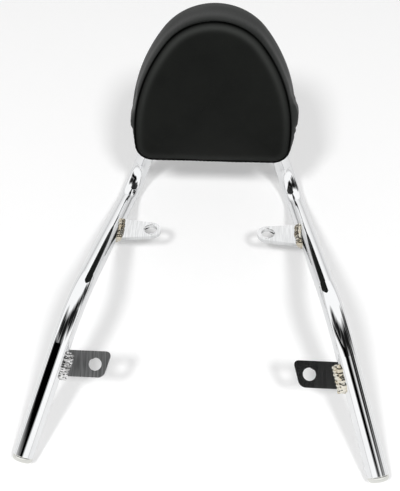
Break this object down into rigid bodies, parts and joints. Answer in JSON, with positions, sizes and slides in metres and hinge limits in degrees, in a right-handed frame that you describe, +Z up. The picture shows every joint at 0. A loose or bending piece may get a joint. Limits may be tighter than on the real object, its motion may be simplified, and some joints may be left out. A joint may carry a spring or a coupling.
{
  "type": "sissy bar",
  "caption": "Bent round-tube backrest bar for a motorbike with a trimmed back pad, inward mounting tabs and capped leg ends.",
  "frame": {"origin": "on the surface it stands on, under the middle of its box", "axes": "+Z up, -Y towards the leg tips, +Y towards the pad, +X to the right seen from the leg tips"},
  "size_m": [0.3898, 0.4796, 0.2734],
  "materials": {
    "frame_chrome": "bright chrome plate on steel tube",
    "cap_chrome": "bright chrome plate on welded caps",
    "tab_chrome": "chrome plate on ground flat steel",
    "weld_bead": "plated weld with a warm heat tint",
    "strap_chrome": "chrome plate on flat steel strap",
    "spacer_zinc": "zinc plated steel",
    "screw_zinc": "zinc plated steel",
    "washer_zinc": "zinc plated steel",
    "tee_zinc": "zinc plated steel",
    "base_board": "dark stained plywood",
    "foam": "moulded seat foam",
    "cover_vinyl": "satin black vinyl with a fine grain",
    "band_vinyl": "satin black vinyl side band",
    "staple_wire": "galvanised wire"
  },
  "bodies": {
    "root": {"frame_tube": "frame_chrome", "tip_cap_left": "cap_chrome", "tip_cap_right": "cap_chrome", "front_tab_left": "tab_chrome", "front_tab_right": "tab_chrome", "rear_tab_left": "tab_chrome", "rear_tab_right": "tab_chrome", "front_weld_left": "weld_bead", "front_weld_right": "weld_bead", "rear_weld_left": "weld_bead", "rear_weld_right": "weld_bead", "lower_strap": "strap_chrome", "upper_strap": "strap_chrome", "lower_strap_welds": "weld_bead", "upper_strap_welds": "weld_bead", "strap_spacers": "spacer_zinc", "pad_screws": "screw_zinc", "screw_washers": "washer_zinc", "spring_washers": "washer_zinc", "tee_nuts": "tee_zinc", "pad_base": "base_board", "pad_foam": "foam", "cover_face": "cover_vinyl", "cover_band": "band_vinyl", "cover_staples": "staple_wire"}
  },
  "joints": []
}
